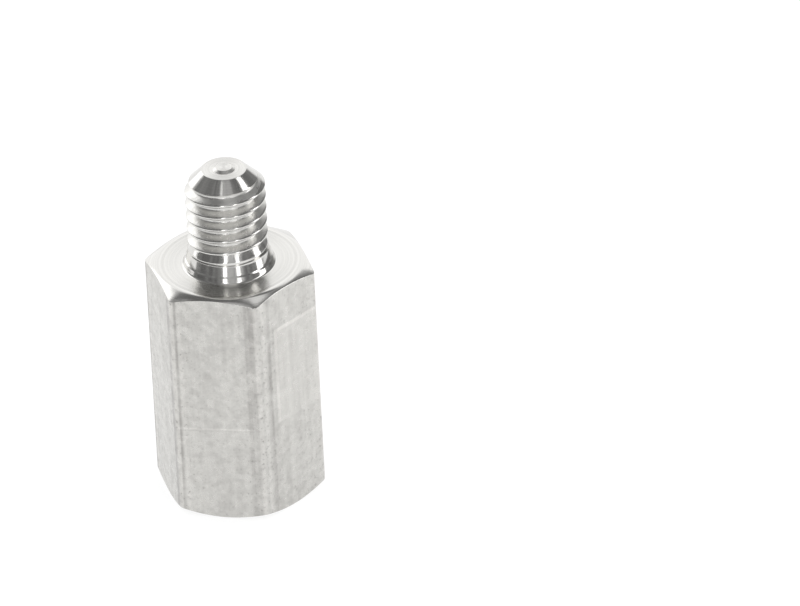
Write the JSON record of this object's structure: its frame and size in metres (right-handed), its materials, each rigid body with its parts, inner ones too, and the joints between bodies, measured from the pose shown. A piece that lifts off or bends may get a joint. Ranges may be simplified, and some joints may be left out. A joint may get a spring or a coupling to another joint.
{
  "type": "spacer pin",
  "caption": "Hexagon spacer pin turned from steel bar: a chamfered body with a threaded stud on one end and a tapped hole in its foot, to hold two parts a set distance apart.",
  "frame": {"origin": "centre of the foot, the flat end with the tapped hole", "axes": "+Z along the pin's axis, from the foot to the stud's point; +Y square to one of the flats"},
  "size_m": [0.0126, 0.011, 0.0266],
  "materials": {
    "steel": "bright drawn flats with turned ends"
  },
  "bodies": {
    "root": {"spacer_pin": "steel"}
  },
  "joints": []
}
